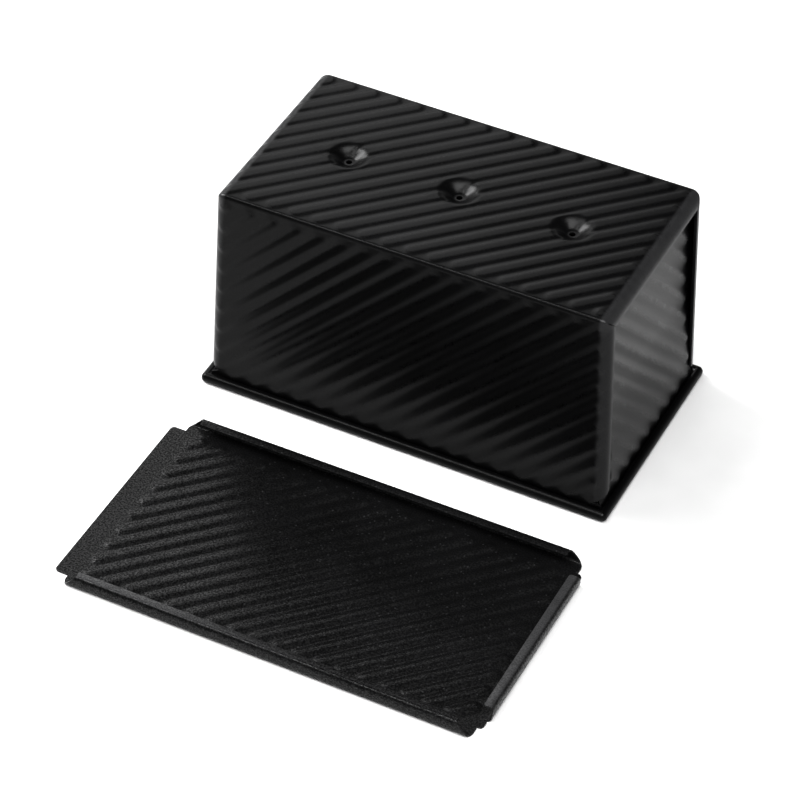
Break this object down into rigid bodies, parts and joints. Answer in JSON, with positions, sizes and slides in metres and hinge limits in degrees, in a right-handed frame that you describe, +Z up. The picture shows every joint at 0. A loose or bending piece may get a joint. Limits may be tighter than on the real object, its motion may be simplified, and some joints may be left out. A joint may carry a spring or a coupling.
{
  "type": "loaf pan with lid",
  "caption": "Lidded loaf pan of ribbed black sheet steel standing upside down on its rolled rim, with its slide-on channelled lid lying beside it, inside up.",
  "frame": {"origin": "middle of the footprint of the pan and lid together, on the surface they stand on", "axes": "+X along the pan's length towards the lid's closed end, +Y from the lid to the pan, +Z up"},
  "size_m": [0.2194, 0.2672, 0.1154],
  "materials": {
    "pan_coat": "matte",
    "lid_coat": "matte",
    "wire": "satin"
  },
  "bodies": {
    "pan": {"pan_body": "pan_coat", "right_end_panel": "pan_coat", "left_end_panel": "pan_coat", "rim_wire": "wire"},
    "lid": {"lid": "lid_coat"}
  },
  "joints": [
    {"name": "lid_slide", "type": "slide", "parent": "pan", "child": "lid", "axis": [1, 0, 0], "range_m": [0, 0.2155]}
  ]
}
